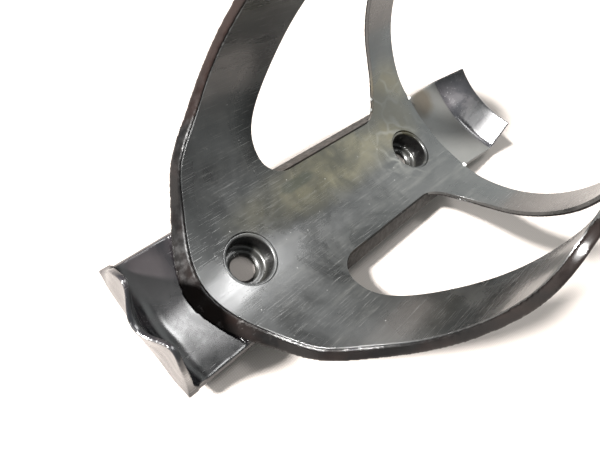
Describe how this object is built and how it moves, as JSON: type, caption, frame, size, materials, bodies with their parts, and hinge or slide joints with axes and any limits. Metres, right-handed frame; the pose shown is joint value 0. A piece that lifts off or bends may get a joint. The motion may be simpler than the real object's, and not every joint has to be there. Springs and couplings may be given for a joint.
{
  "type": "water bottle cage",
  "caption": "Open moulded bottle cage: slotted side arms round a bolted spine, with a lipped shelf at the bottle's base and a hooked catch at its neck.",
  "frame": {"origin": "on the face that sits on the frame tube, midway between the two bolt holes", "axes": "+Z out of the mounting face towards the bottle, +Y along the bottle from its base to its neck, +X across"},
  "size_m": [0.077, 0.138, 0.068],
  "materials": {
    "skin": "satin",
    "shell": "gloss",
    "backbone": "satin, slightly rough",
    "tabs": "gloss",
    "cups": "gloss",
    "foam": "matte"
  },
  "bodies": {
    "root": {"inner_skin": "skin", "outer_shell": "shell", "arm_core_left": "foam", "arm_core_right": "foam", "backbone": "backbone", "spine_core": "foam", "bottom_shelf": "tabs", "top_catch": "tabs", "bolt_cup_lower": "cups", "bolt_cup_upper": "cups"}
  },
  "joints": []
}
